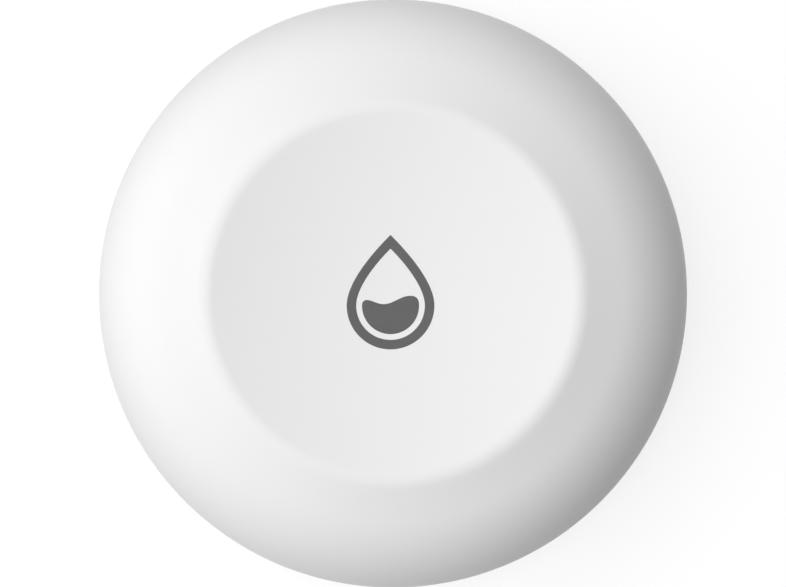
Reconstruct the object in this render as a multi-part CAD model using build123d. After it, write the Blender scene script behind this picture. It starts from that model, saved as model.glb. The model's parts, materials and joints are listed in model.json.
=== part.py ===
from build123d import *
import math
import os

# A round, battery-powered water leak sensor, 50 mm across and 15 mm high.
# It lies flat on the floor. Two metal contacts underneath touch the water.
# The dished top is a flexible floor: pressing it works the pairing switch.
# Origin: centre of the underside, on the plane of the feet. +Z is up.
# All sizes are in millimetres and all angles are in degrees.
# Heights add up from the feet, and radii add up from the coin cell outwards.

# Cutting tools run past the surface they cut by this much
overrun = 1.0

# Coin cell: the 20 mm lithium size
cell_diameter = 20.0
cell_height = 3.2
can_wall = 0.25
cell_cap_inset = 1.3
cell_cap_rise = 0.4
gasket_width = 0.35
cell_edge_radius = 0.3

# Feet, and the heads of the two sensing screws, which stand on the floor
foot_height = 0.6
foot_edge_radius = 0.2

# Battery cover: a disc with a coin slot, turned to lock under three lugs
cover_thickness = 1.6
cover_edge_radius = 0.3
coin_slot_length = 16.0
coin_slot_width = 2.2
coin_slot_depth = 0.9
cover_gap = 0.1
plug_clearance = 0.35
plug_wall = 1.15
lug_count = 3
lug_reach = 1.2
lug_thickness = 0.7
lug_width_angle = 24.0
lug_clearance = 0.15
lug_lead_in = 0.25
turn_to_open = 40.0
stop_angle = 6.0
stop_clearance_angle = 1.0
mark_radius = 0.45
mark_depth = 0.2
mark_angle = 60.0

# Soft seals are drawn at their squeezed size, clear of what they press on
seal_clearance = 0.01
cover_seal_land = 0.4
cover_seal_width = 0.9
cover_seal_depth = 0.7
cover_seal_rim = 0.35

# Foam disc on the cover that holds the cell up against its contacts
cell_pad_thickness = 0.4
cell_pad_inner_radius = 2.5
cell_pad_inset = 0.6
cell_pad_gap = 0.1

# Base shell
base_floor = 1.8
base_wall = 1.6
recess_wall = 1.2
collar_thickness = 1.0
lower_reach = 5.3
waist_height = 6.3
parting_drop = 1.9
seam_gap = 0.15
seam_bevel_width = 0.15
tongue_wall = 1.3
tongue_height = 1.9
tongue_root = 1.4
joint_gap = 0.1
base_rib_count = 12
base_rib_thickness = 0.8
base_rib_height = 1.0
base_rib_root = 0.4

# Seal between the base shell and the top shell
base_seal_width = 0.8
base_seal_groove_width = 0.9
base_seal_rise = 0.45

# Sensing screws, their seals and the threaded sockets on the board
probe_head_radius = 2.0
probe_head_height = 1.2
probe_head_gap = 0.1
probe_edge_radius = 0.25
probe_land = 0.7
probe_margin = 0.2
probe_shank_radius = 1.15
probe_hole_gap = 0.15
probe_engagement = 2.9
probe_boss_wall = 1.3
probe_seal_radial_space = 0.65
probe_seal_axial_space = 0.56
thread_gap = 0.05
socket_sides = 6
socket_across_flats = 3.8
socket_spigot_radius = 1.6
socket_spigot_rise = 0.2
cross_length = 2.2
cross_width = 0.55
cross_depth = 0.6

# Circuit board
board_thickness = 1.0
board_gap = 0.9
board_lift = 0.8
board_hole_gap = 0.05
board_notch_radius = 1.2
board_notch_count = 3

# Three screws that hold the board to bosses under the top shell
boss_count = 3
boss_radius = 2.1
boss_margin = 0.3
boss_first_angle = 30.0
board_screw_head_radius = 1.8
board_screw_head_height = 1.2
board_screw_shank_radius = 0.85
board_screw_bite = 3.4
board_screw_end_gap = 0.4
board_screw_hole_gap = 0.25

# Battery tray: a plastic ring round the cell, under the board
tray_wall = 1.2
tray_gap = 0.3
tray_peg_count = 4
tray_peg_radius = 0.5
tray_peg_angle = 45.0
tray_pocket_depth = 0.6
tray_pocket_width = 5.0
tray_tab_slot_height = 0.35

# Spring contacts of stamped strip
strip_thickness = 0.2
side_contact_width = 4.0
side_contact_inset = 0.12
side_contact_bow = 0.38
side_contact_tab = 2.6
side_contact_touch_gap = 0.03
side_contact_end_gap = 0.15
centre_contact_hub_radius = 2.2
centre_contact_reach = 6.4
centre_contact_width = 1.6
centre_contact_fingers = 3
centre_contact_touch_gap = 0.03
centre_contact_curl = 0.7

# Tactile switch at the centre of the board's upper face
switch_side = 5.2
switch_body_height = 1.4
switch_frame_thickness = 0.2
switch_frame_leg_width = 0.8
switch_frame_gap = 0.02
switch_well_radius = 1.9
switch_well_depth = 0.8
switch_window_radius = 1.5
plunger_radius = 1.25
plunger_flange_radius = 1.7
plunger_flange_thickness = 0.3
plunger_flange_gap = 0.05
plunger_rise = 0.6
plunger_edge_radius = 0.15
dome_thickness = 0.08
dome_gap = 0.03
switch_travel = 0.25

# Press plate: the stiff centre behind the flexible dish floor
stem_gap = 0.05
stem_radius = 1.6
stem_length = 1.75
plate_thickness = 1.2
plate_gap = 1.3
plate_bond_gap = 0.05
plate_rib_count = 6
plate_rib_thickness = 0.8
plate_rib_depth = 0.7
plate_rib_start_radius = 3.4
plate_rib_end_radius = 11.0

# Flexible dish floor, with a thin ring that bends when it is pressed
skin_thickness = 0.8
flex_groove_depth = 0.35
flex_groove_width = 0.9

# Dished top shell
shell_wall = 1.7
shoulder_reach = 9.15
rounded_edge_reach = 5.6
shoulder_slope_angle = 21.0
crest_lead = 0.9
crest_radius = 2.7
dish_depth = 1.3
ledge_width = 1.2
ledge_thickness = 1.6
dish_collar_width = 2.2
shell_rib_count = 24
shell_rib_thickness = 0.8
shell_rib_depth = 0.9
shell_rib_clear_angle = 36.0

# Status light and the clear pipe that carries it up to the dish floor
light_place = 6.0
light_length = 1.6
light_width = 0.8
light_height = 0.6
pipe_radius = 1.1
pipe_foot_radius = 1.7
pipe_foot_height = 1.4
pipe_hollow_gap = 0.2
pipe_top_gap = 0.1
pipe_hole_gap = 0.5

# Radio chip, crystal and antenna on the board's upper face
chip_side = 6.0
chip_height = 0.9
chip_place = 10.5
chip_angle = 200.0
chip_sides = 4
chip_lead_count = 8
chip_lead_length = 0.35
chip_lead_width = 0.3
chip_lead_height = 0.2
crystal_length = 3.2
crystal_width = 2.5
crystal_height = 0.8
crystal_corner_radius = 0.4
crystal_place = 11.0
crystal_angle = 245.0
antenna_angle = 90.0
antenna_sweep = 56.0
antenna_inset = 1.2
antenna_lift = 1.2
antenna_band_height = 0.9
antenna_leg_width = 1.0
antenna_leg_pitch = 3.0

# Small parts soldered round the board
capacitor_length = 1.6
capacitor_width = 0.9
capacitor_height = 0.8
capacitor_count = 8
capacitor_place = 14.6
capacitor_first_angle = 310.0
capacitor_step_angle = 15.0
resistor_length = 1.6
resistor_width = 0.8
resistor_height = 0.45
resistor_count = 8
resistor_place = 16.6
resistor_first_angle = 196.0
resistor_step_angle = 9.0

# Heights, from the feet upwards
underside = foot_height
cover_top = underside + cover_thickness
recess_top = cover_top + cover_gap
collar_top = recess_top + collar_thickness
lug_low = collar_top + cover_gap
lug_top = lug_low + lug_thickness
cell_low = cover_top + cell_pad_thickness + cell_pad_gap
cell_top = cell_low + cell_height
board_low = cell_top + board_lift
board_top = board_low + board_thickness
switch_top = board_top + switch_body_height + switch_frame_thickness
plunger_top = switch_top + plunger_rise
stem_low = plunger_top + stem_gap
plate_low = stem_low + stem_length
dish_floor = plate_low + plate_thickness + plate_bond_gap + skin_thickness
crest_height = dish_floor + dish_depth
floor_top = underside + base_floor
parting_height = waist_height - parting_drop
tongue_top = parting_height + tongue_height
probe_seat = probe_head_height
probe_boss_top = collar_top
press_travel = switch_travel + stem_gap

# Radii, from the coin cell outwards
cell_radius = cell_diameter / 2
cell_cap_radius = cell_radius - cell_cap_inset
cell_pad_outer_radius = cell_radius - cell_pad_inset
plug_inner = cell_radius + plug_clearance
plug_outer = plug_inner + plug_wall
collar_bore = plug_outer + cover_gap
lug_outer = plug_outer + lug_reach
notch_outer = lug_outer + lug_clearance
cover_seal_inner = notch_outer + cover_seal_land
cover_seal_outer = cover_seal_inner + cover_seal_width
cover_radius = cover_seal_outer + cover_seal_rim
recess_radius = cover_radius + cover_gap
collar_outer = recess_radius + recess_wall
counterbore_radius = probe_head_radius + probe_head_gap
probe_hole_radius = probe_shank_radius + probe_hole_gap
probe_boss_radius = probe_hole_radius + probe_boss_wall
probe_circle = recess_radius + probe_land + counterbore_radius
flat_radius = probe_circle + counterbore_radius + probe_margin
outer_radius = flat_radius + lower_reach
shell_inner = outer_radius - shell_wall
tongue_outer = shell_inner - joint_gap
tongue_inner = tongue_outer - tongue_wall
board_radius = tongue_inner - board_gap
boss_circle = board_radius - boss_radius - boss_margin
crest_edge = outer_radius - shoulder_reach
slope_edge = outer_radius - rounded_edge_reach
dish_radius = crest_edge - crest_lead
aperture_radius = dish_radius - ledge_width
plate_radius = aperture_radius - plate_gap
dish_collar_outer = aperture_radius + dish_collar_width
tray_inner = plug_inner
tray_outer = tray_inner + tray_wall
tray_low = lug_top + tray_gap

# The dish is part of a large ball. Outside the crest the shoulder falls in a
# straight slope, and an ellipse that starts at that slope rounds it to the waist
dish_ball_radius = (crest_edge**2 + dish_depth**2) / (2 * dish_depth)
shoulder_slope = math.tan(math.radians(shoulder_slope_angle))
slope_fall = (slope_edge - crest_edge) * shoulder_slope
edge_rise = crest_height - slope_fall - waist_height
edge_lead = rounded_edge_reach * shoulder_slope
edge_share = (edge_rise - edge_lead) / (edge_rise - 2 * edge_lead)
shoulder_width = rounded_edge_reach * edge_share
shoulder_centre = outer_radius - shoulder_width
shoulder_share = (slope_edge - shoulder_centre) / shoulder_width
shoulder_rise = edge_rise / math.sqrt(1 - shoulder_share**2)

full_turn = 360.0
right_angle = 90.0

# Places round the axis: the sensing screws lie along X, and the feet and the
# side contacts of the cell along Y
probe_angles = (0, full_turn / 2)
foot_angles = (right_angle, -right_angle)
contact_angles = (right_angle, -right_angle)


def ball_drop(ball_radius, radius):
    """Fall of a ball's surface from its pole out to a radius."""
    return ball_radius - math.sqrt(ball_radius**2 - radius**2)


def dish_height(radius, drop=0):
    """Height of the dish surface at a radius, lowered by drop."""
    return dish_floor + ball_drop(dish_ball_radius, radius) - drop


def flank_radius(height):
    """Outside radius of the lower flank at a height below the waist."""
    share_down = (waist_height - height) / (waist_height - underside)
    return flat_radius + lower_reach * math.sqrt(1 - share_down**2)


def disc(radius, low, high):
    centred_on_foot = (Align.CENTER, Align.CENTER, Align.MIN)
    return Pos(0, 0, low) * Cylinder(radius, high - low, align=centred_on_foot)


def ring(inner, outer, low, high):
    return disc(outer, low, high) - disc(inner, low - overrun, high + overrun)


def block(length, width, low, high):
    """Block centred on the axis, from low to high."""
    centred_on_foot = (Align.CENTER, Align.CENTER, Align.MIN)
    return Pos(0, 0, low) * Box(length, width, high - low, align=centred_on_foot)


def turned(*edges):
    """Solid turned about the axis from an outline of (radius, height) points."""
    return revolve(Plane.XZ * make_face(edges), axis=Axis.Z)


def outline(*points):
    """Closed outline of straight edges through (radius, height) points."""
    return Polyline(*points, close=True)


def sector(inner, outer, low, high, middle_angle, width_angle):
    """Piece of a ring that covers width_angle about middle_angle."""
    first = middle_angle - width_angle / 2
    outer_arc = CenterArc((0, 0), outer, first, width_angle)
    inner_arc = CenterArc((0, 0), inner, first, width_angle)
    ends = [Line(inner_arc @ 0, outer_arc @ 0), Line(inner_arc @ 1, outer_arc @ 1)]
    return Pos(0, 0, low) * extrude(make_face([outer_arc, inner_arc, *ends]), high - low)


def seal_ring(inner, outer, low, high):
    """Round seal in a rectangular space, just clear of its walls."""
    tube = min(outer - inner, high - low) / 2 - seal_clearance
    return Pos(0, 0, (low + high) / 2) * Torus((inner + outer) / 2, tube)


def around(angle, radius, shape):
    """Shape carried out along X by radius, then turned by angle."""
    return Rot(0, 0, angle) * Pos(radius, 0, 0) * shape


def evenly(count, first=0.0):
    return [first + full_turn * n / count for n in range(count)]


def cross_recess(low, high):
    return block(cross_length, cross_width, low, high) + block(
        cross_width, cross_length, low, high
    )


def body_form():
    """The whole outside: flat foot, rounded waist, shoulder, crest and dish."""
    slope_start_angle = math.degrees(math.acos(shoulder_share))
    under = Line((0, underside), (flat_radius, underside))
    flank = EllipticalCenterArc(
        (flat_radius, waist_height),
        lower_reach,
        waist_height - underside,
        -right_angle,
        arc_size=right_angle,
    )
    shoulder = EllipticalCenterArc(
        (shoulder_centre, waist_height),
        shoulder_width,
        shoulder_rise,
        0,
        arc_size=slope_start_angle,
    )
    slope = Line(shoulder @ 1, (crest_edge, crest_height))
    half_way = crest_edge / 2
    dish = ThreePointArc(
        slope @ 1, (half_way, dish_height(half_way)), (0, dish_floor)
    )
    axis = Line((0, dish_floor), (0, underside))
    whole = turned(under, flank, shoulder, slope, dish, axis)
    crest = whole.edges().filter_by(GeomType.CIRCLE).sort_by(Axis.Z)[-1]
    return fillet(crest, crest_radius)


def seam_bevel(height, way):
    """Ring that cuts a small bevel on the outer edge at the parting line.

    The way is 1 for the edge of the top shell and -1 for that of the base.
    """
    corner = flank_radius(height)
    far = corner + overrun
    start = height - way * overrun
    end = height + way * (seam_bevel_width + overrun)
    return turned(
        outline((corner - seam_bevel_width - overrun, start), (far, start), (far, end))
    )


def shell_hollow(wall):
    """Space inside the top shell, leaving wall all round it."""
    ceiling = waist_height + shoulder_rise - wall
    arch = EllipticalCenterArc(
        (shoulder_centre, waist_height),
        shoulder_width - wall,
        shoulder_rise - wall,
        0,
        arc_size=right_angle,
    )
    low = parting_height - overrun
    straight = Polyline(
        (shoulder_centre, ceiling),
        (0, ceiling),
        (0, low),
        (outer_radius - wall, low),
        (outer_radius - wall, waist_height),
    )
    return turned(arch, straight)


def dish_layer(radius, top_drop, low_drop):
    """Disc that follows the dish, between two drops below its surface."""
    half_way = radius / 2
    top = ThreePointArc(
        (0, dish_height(0, top_drop)),
        (half_way, dish_height(half_way, top_drop)),
        (radius, dish_height(radius, top_drop)),
    )
    low = ThreePointArc(
        (0, dish_height(0, low_drop)),
        (half_way, dish_height(half_way, low_drop)),
        (radius, dish_height(radius, low_drop)),
    )
    axis = Line((0, dish_height(0, top_drop)), (0, dish_height(0, low_drop)))
    return turned(top, low, Line(top @ 1, low @ 1), axis)


def shell_ribs(core):
    """Radial ribs under the shoulder, left out beside the antenna."""
    ribs = Part()
    for angle in evenly(shell_rib_count, full_turn / shell_rib_count / 2):
        off_antenna = abs(angle - antenna_angle)
        if off_antenna > shell_rib_clear_angle:
            slab = block(outer_radius, shell_rib_thickness, tongue_top + board_gap, crest_height)
            ribs += around(angle, outer_radius / 2, slab)
    ribs -= disc(dish_collar_outer - dish_collar_width / 2, 0, crest_height + overrun)
    return (ribs & core) - shell_hollow(shell_wall + shell_rib_depth)


def make_top_shell(form):
    """White dished cover: rounded wall, crest, ledge for the dish floor."""
    above_parting = disc(outer_radius + overrun, parting_height, crest_height + overrun)
    shell = (form & above_parting) - shell_hollow(shell_wall)
    shell -= seam_bevel(parting_height, 1)
    core = shell_hollow(shell_wall / 2)
    collar_low = dish_height(aperture_radius, skin_thickness) - ledge_thickness
    shell += disc(dish_collar_outer, collar_low, crest_height) & core
    shell += shell_ribs(core)
    for angle in evenly(boss_count, boss_first_angle):
        boss = around(angle, boss_circle, disc(boss_radius, board_top, crest_height))
        shell += boss & core
    shell -= disc(aperture_radius, 0, crest_height + overrun)
    shell -= dish_layer(dish_radius, -dish_depth - overrun, skin_thickness)
    screw_depth = board_top + board_screw_bite + board_screw_end_gap
    hole_radius = board_screw_shank_radius + thread_gap
    for angle in evenly(boss_count, boss_first_angle):
        hole = disc(hole_radius, board_top - overrun, screw_depth)
        shell -= around(angle, boss_circle, hole)
    return shell


def make_dish_skin(form):
    """Flexible dish floor, with a thin ring between its plate and its ledge."""
    skin = dish_layer(dish_radius, 0, skin_thickness) & form
    groove_middle = (plate_radius + aperture_radius) / 2
    groove_inner = groove_middle - flex_groove_width / 2
    groove_outer = groove_middle + flex_groove_width / 2
    groove_top = dish_height(groove_middle, skin_thickness) + flex_groove_depth
    return skin - ring(groove_inner, groove_outer, cell_top, groove_top)


def make_press_plate():
    """Stiff dished plate with ribs, a stem for the switch and a light hole."""
    top_drop = skin_thickness + plate_bond_gap
    low_drop = top_drop + plate_thickness
    plate = dish_layer(plate_radius, top_drop, low_drop)
    into_plate = plate_thickness / 2
    plate += disc(stem_radius, stem_low, plate_low + into_plate)
    rib_low = plate_low - plate_rib_depth
    rib_length = plate_rib_end_radius - stem_radius / 2
    rib_middle = (plate_rib_end_radius + stem_radius / 2) / 2
    rib = block(rib_length, plate_rib_thickness, rib_low, plate_low + into_plate)
    for angle in evenly(plate_rib_count):
        plate += around(angle, rib_middle, rib)
    fill = ring(
        plate_rib_start_radius,
        plate_rib_start_radius + plate_rib_thickness,
        rib_low,
        plate_low + into_plate,
    )
    plate += fill
    light_hole = disc(pipe_radius + pipe_hole_gap, stem_low, crest_height)
    return plate - Pos(0, -light_place, 0) * light_hole


def base_hollow():
    """Space inside the base shell, above its floor."""
    curve = EllipticalCenterArc(
        (flat_radius, waist_height),
        lower_reach - base_wall,
        waist_height - floor_top,
        -right_angle,
        arc_size=right_angle,
    )
    top = waist_height + overrun
    straight = Polyline(
        (outer_radius - base_wall, waist_height),
        (outer_radius - base_wall, top),
        (0, top),
        (0, floor_top),
        (flat_radius, floor_top),
    )
    return turned(curve, straight)


def base_ribs():
    """Low ribs from the battery recess out to the tongue."""
    length = tongue_inner - collar_outer + recess_wall
    middle = (tongue_inner + collar_outer) / 2
    rib_top = floor_top + base_rib_height
    rib = block(length, base_rib_thickness, floor_top - base_rib_root, rib_top)
    step = full_turn / base_rib_count
    ribs = Part()
    for angle in evenly(base_rib_count, step / 2):
        ribs += around(angle, middle, rib)
    return ribs


def make_base_shell(form):
    """Base: rounded dish with a battery opening, screw seats, feet and a tongue."""
    seam_height = parting_height - seam_gap
    below_parting = disc(outer_radius + overrun, 0, seam_height)
    base = (form & below_parting) - base_hollow()
    base -= seam_bevel(seam_height, -1)
    base += ring(tongue_inner, tongue_outer, parting_height - tongue_root, tongue_top)
    base += ring(collar_bore, collar_outer, underside + base_wall / 2, collar_top)
    base += base_ribs()
    for angle in probe_angles:
        boss = disc(probe_boss_radius, underside + base_wall / 2, probe_boss_top)
        base += around(angle, probe_circle, boss)
    for angle in foot_angles:
        foot = disc(probe_head_radius, 0, underside + base_floor / 2)
        rim = foot.edges().filter_by(GeomType.CIRCLE).sort_by(Axis.Z)[0]
        base += around(angle, probe_circle, fillet(rim, foot_edge_radius))
    return cut_base_openings(base)


def cut_base_openings(base):
    """Recess and bore for the cover, its lug ways, and the screw seats."""
    base -= disc(recess_radius, -overrun, recess_top)
    base -= disc(collar_bore, -overrun, collar_top + overrun)
    notch_angle = lug_width_angle + 2 * stop_clearance_angle
    for lug_angle in evenly(lug_count):
        open_angle = lug_angle - turn_to_open
        base -= sector(
            plug_inner,
            notch_outer,
            0,
            collar_top + overrun,
            open_angle,
            notch_angle,
        )
        half_lug = lug_width_angle / 2 + stop_clearance_angle + stop_angle / 2
        for middle in (lug_angle + half_lug, open_angle - half_lug):
            base += sector(
                collar_bore,
                notch_outer,
                recess_top,
                lug_top,
                middle,
                stop_angle,
            )
    for angle in probe_angles:
        base -= around(angle, probe_circle, disc(counterbore_radius, -overrun, probe_seat))
        seal_room = probe_shank_radius + probe_seal_radial_space
        seal_top = probe_seat + probe_seal_axial_space
        base -= around(angle, probe_circle, disc(seal_room, probe_seat - overrun, seal_top))
        hole = disc(probe_hole_radius, 0, probe_boss_top + overrun)
        base -= around(angle, probe_circle, hole)
    base -= base_seal_groove()
    for angle in (mark_angle, mark_angle - turn_to_open):
        mark = disc(mark_radius, -overrun, underside + mark_depth)
        base -= around(angle, probe_circle, mark)
    return base


def base_seal_levels():
    low = parting_height + base_seal_rise
    return low, low + base_seal_groove_width


def base_seal_groove():
    low, high = base_seal_levels()
    return ring(shell_inner - base_seal_width, shell_inner + overrun, low, high)


def make_base_seal():
    low, high = base_seal_levels()
    return seal_ring(shell_inner - base_seal_width, shell_inner, low, high)


def make_battery_cover():
    """Coin-slot cover with a seal groove, a plug round the cell and three lugs."""
    cover = disc(cover_radius, underside, cover_top)
    rim = cover.edges().filter_by(GeomType.CIRCLE).sort_by(Axis.Z)[0]
    cover = fillet(rim, cover_edge_radius)
    cover += ring(plug_inner, plug_outer, cover_top - cover_thickness / 2, lug_top)
    for angle in evenly(lug_count):
        cover += battery_cover_lug(angle)
    groove_low = cover_top - cover_seal_depth
    cover -= ring(cover_seal_inner, cover_seal_outer, groove_low, cover_top + overrun)
    slot = SlotOverall(coin_slot_length, coin_slot_width)
    slot_cut = extrude(slot, underside + coin_slot_depth)
    mark = disc(mark_radius, -overrun, underside + mark_depth)
    mark_place = (cover_seal_inner + cover_seal_outer) / 2
    return cover - slot_cut - around(mark_angle, mark_place, mark)


def battery_cover_lug(angle):
    """Lug with its leading end thinned, so that it finds its way on the collar."""
    inner = plug_outer - plug_wall / 2
    lug = sector(inner, lug_outer, lug_low, lug_top, angle, lug_width_angle)
    nose_angle = lug_width_angle / 2
    nose = sector(
        plug_outer,
        lug_outer + overrun,
        lug_low - overrun,
        lug_low + lug_lead_in,
        angle - nose_angle,
        stop_angle,
    )
    return lug - nose


def make_cover_seal():
    groove_low = cover_top - cover_seal_depth
    return seal_ring(cover_seal_inner, cover_seal_outer, groove_low, recess_top)


def make_cell_pad():
    top = cover_top + cell_pad_thickness
    return ring(cell_pad_inner_radius, cell_pad_outer_radius, cover_top, top)


def make_probe_screws():
    """Two sensing screws: wide smooth heads, crossed recess, plain shank."""
    screws = []
    for angle in probe_angles:
        head = disc(probe_head_radius, 0, probe_seat)
        rim = head.edges().filter_by(GeomType.CIRCLE).sort_by(Axis.Z)[0]
        head = fillet(rim, probe_edge_radius)
        shank_top = probe_boss_top + probe_engagement
        screw = head + disc(probe_shank_radius, probe_seat - overrun / 2, shank_top)
        screw -= cross_recess(-overrun, cross_depth)
        screws.append(around(angle, probe_circle, screw))
    return Compound(screws)


def make_probe_seals():
    inner = probe_shank_radius
    outer = probe_shank_radius + probe_seal_radial_space
    seal = seal_ring(inner, outer, probe_seat, probe_seat + probe_seal_axial_space)
    return Compound([around(angle, probe_circle, seal) for angle in probe_angles])


def make_probe_sockets():
    """Two threaded hexagon pillars soldered under the board."""
    half_side_angle = math.radians(full_turn / socket_sides / 2)
    corner_radius = socket_across_flats / 2 / math.cos(half_side_angle)
    sockets = []
    for angle in probe_angles:
        hexagon = RegularPolygon(corner_radius, socket_sides)
        pillar = Pos(0, 0, probe_boss_top) * extrude(hexagon, board_low - probe_boss_top)
        spigot_top = board_top + socket_spigot_rise
        pillar += disc(socket_spigot_radius, board_low - overrun / 2, spigot_top)
        bore = disc(probe_shank_radius + thread_gap, 0, board_top + overrun)
        sockets.append(around(angle, probe_circle, pillar - bore))
    return Compound(sockets)


def make_circuit_board():
    """Round board with screw holes, pillar holes, peg holes and edge notches."""
    board = disc(board_radius, board_low, board_top)
    low, high = board_low - overrun, board_top + overrun
    screw_hole = disc(board_screw_shank_radius + board_screw_hole_gap, low, high)
    for angle in evenly(boss_count, boss_first_angle):
        board -= around(angle, boss_circle, screw_hole)
    pillar_hole = disc(socket_spigot_radius + board_hole_gap, low, high)
    for angle in probe_angles:
        board -= around(angle, probe_circle, pillar_hole)
    peg_hole = disc(tray_peg_radius + board_hole_gap, low, high)
    for angle in evenly(tray_peg_count, tray_peg_angle):
        board -= around(angle, (tray_inner + tray_outer) / 2, peg_hole)
    notch = disc(board_notch_radius, low, high)
    for angle in evenly(board_notch_count, boss_first_angle + full_turn / 6):
        board -= around(angle, board_radius, notch)
    return board


def make_board_screws():
    """Three pan-head screws, driven up through the board into the bosses."""
    screws = []
    for angle in evenly(boss_count, boss_first_angle):
        head = disc(board_screw_head_radius, board_low - board_screw_head_height, board_low)
        rim = head.edges().filter_by(GeomType.CIRCLE).sort_by(Axis.Z)[0]
        head = fillet(rim, probe_edge_radius)
        shank_top = board_top + board_screw_bite
        screw = head + disc(board_screw_shank_radius, board_low - overrun / 2, shank_top)
        recess_low = board_low - board_screw_head_height
        screw -= cross_recess(recess_low - overrun, recess_low + cross_depth)
        screws.append(around(angle, boss_circle, screw))
    return Compound(screws)


def make_battery_tray():
    """Plastic ring round the cell, with pegs into the board and contact pockets."""
    tray = ring(tray_inner, tray_outer, tray_low, board_low)
    peg = disc(tray_peg_radius, board_low - overrun / 2, board_low + board_thickness / 2)
    for angle in evenly(tray_peg_count, tray_peg_angle):
        tray += around(angle, (tray_inner + tray_outer) / 2, peg)
    pocket_outer = tray_inner + tray_pocket_depth
    pocket_length = pocket_outer - cell_radius + overrun
    pocket = block(pocket_length, tray_pocket_width, tray_low - overrun, board_low + overrun)
    slot_low = board_low - tray_tab_slot_height
    tab_slot = block(
        tray_outer - cell_radius + 2 * overrun, tray_pocket_width, slot_low, board_low + overrun
    )
    for angle in contact_angles:
        tray -= around(angle, pocket_outer - pocket_length / 2, pocket)
        tray -= around(angle, (tray_outer + cell_radius) / 2 + overrun / 2, tab_slot)
    return tray


def make_positive_contacts():
    """Two bowed leaf springs that press on the side of the cell."""
    leaf_inner = tray_inner + side_contact_inset
    leaf_outer = leaf_inner + strip_thickness
    leaf_low = tray_low + side_contact_end_gap
    leaf_high = board_low - strip_thickness
    middle = (leaf_low + leaf_high) / 2
    touch = cell_radius + side_contact_touch_gap
    bow = ThreePointArc(
        (leaf_inner, leaf_low), (touch, middle), (leaf_inner, leaf_high)
    )
    back = ThreePointArc(
        (leaf_outer, leaf_low), (touch + strip_thickness, middle), (leaf_outer, leaf_high)
    )
    tab_end = leaf_inner + side_contact_tab
    tab = Polyline(
        (leaf_inner, leaf_high),
        (leaf_inner, board_low),
        (tab_end, board_low),
        (tab_end, leaf_high),
        (leaf_outer, leaf_high),
    )
    foot = Line((leaf_inner, leaf_low), (leaf_outer, leaf_low))
    profile = Plane.XZ * make_face([bow, back, tab, foot])
    spring = extrude(profile, side_contact_width / 2, both=True)
    return Compound([Rot(0, 0, angle) * spring for angle in contact_angles])


def make_negative_contact():
    """Centre spring: a hub on the board with fingers down to the cell's cap."""
    hub_low = board_low - strip_thickness
    touch = cell_top + centre_contact_touch_gap
    inner = centre_contact_hub_radius / 2
    hub = disc(centre_contact_hub_radius, hub_low, board_low)
    bend = centre_contact_reach - centre_contact_curl
    finger_face = make_face(
        outline(
            (inner, hub_low),
            (centre_contact_hub_radius, hub_low),
            (bend, touch),
            (centre_contact_reach, touch + strip_thickness),
            (centre_contact_reach, touch + 2 * strip_thickness),
            (bend, touch + strip_thickness),
            (centre_contact_hub_radius, board_low),
            (inner, board_low),
        )
    )
    finger = extrude(Plane.XZ * finger_face, centre_contact_width / 2, both=True)
    contact = hub
    for angle in evenly(centre_contact_fingers, right_angle):
        contact += Rot(0, 0, angle) * finger
    return contact


def make_cell_can():
    """Positive can of the coin cell: floor and side wall, crimped at the top."""
    rim_height = cell_top - cell_cap_rise
    can = disc(cell_radius, cell_low, rim_height)
    can = fillet(can.edges().filter_by(GeomType.CIRCLE), cell_edge_radius)
    can -= disc(cell_radius - can_wall, cell_low + can_wall, rim_height - can_wall)
    return can - disc(cell_cap_radius + gasket_width, cell_low + can_wall, cell_top)


def make_cell_gasket():
    """Plastic ring that keeps the can and the cap apart."""
    low = cell_low + can_wall
    wall_top = cell_top - cell_cap_rise - can_wall
    lip_top = cell_top - cell_cap_rise
    outer = cell_radius - can_wall
    gasket = ring(outer - gasket_width, outer, low, wall_top)
    shelf = ring(cell_cap_radius, outer, wall_top - gasket_width, wall_top)
    lip = ring(cell_cap_radius, cell_cap_radius + gasket_width, wall_top - gasket_width, lip_top)
    return gasket + shelf + lip


def make_cell_cap():
    """Negative cap with the cell's filling, kept solid."""
    low = cell_low + can_wall
    shoulder_top = cell_top - cell_cap_rise - can_wall - gasket_width
    filling = disc(cell_radius - can_wall - gasket_width, low, shoulder_top)
    cap = disc(cell_cap_radius, low + can_wall, cell_top)
    rim = cap.edges().filter_by(GeomType.CIRCLE).sort_by(Axis.Z)[-1]
    return filling + fillet(rim, cell_edge_radius)


def make_switch_body():
    """Black switch housing with a round well for the plunger."""
    top = board_top + switch_body_height
    body = block(switch_side, switch_side, board_top, top)
    return body - disc(switch_well_radius, top - switch_well_depth, top + overrun)


def make_switch_frame():
    """Metal plate over the switch, with four legs down to the board."""
    low = board_top + switch_body_height
    frame = block(switch_side, switch_side, low, switch_top)
    frame -= disc(switch_window_radius, low - overrun, switch_top + overrun)
    leg_place = switch_side / 2 + switch_frame_gap + switch_frame_thickness / 2
    corner = switch_side / 2 - switch_frame_leg_width / 2
    leg = block(switch_frame_thickness, switch_frame_leg_width, board_top, switch_top)
    reach = switch_frame_gap + switch_frame_thickness
    bridge = block(reach, switch_frame_leg_width, low, switch_top)
    for side in (-1, 1):
        for end in (-1, 1):
            frame += Pos(side * leg_place, end * corner, 0) * leg
            frame += Pos(side * (switch_side + reach) / 2, end * corner, 0) * bridge
    return frame


def make_switch_plunger():
    """Round plunger, kept in by its flange under the metal plate."""
    flange_top = board_top + switch_body_height - plunger_flange_gap
    flange_low = flange_top - plunger_flange_thickness
    stem = disc(plunger_radius, flange_low, plunger_top)
    rim = stem.edges().filter_by(GeomType.CIRCLE).sort_by(Axis.Z)[-1]
    return fillet(rim, plunger_edge_radius) + disc(
        plunger_flange_radius, flange_low, flange_top
    )


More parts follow.
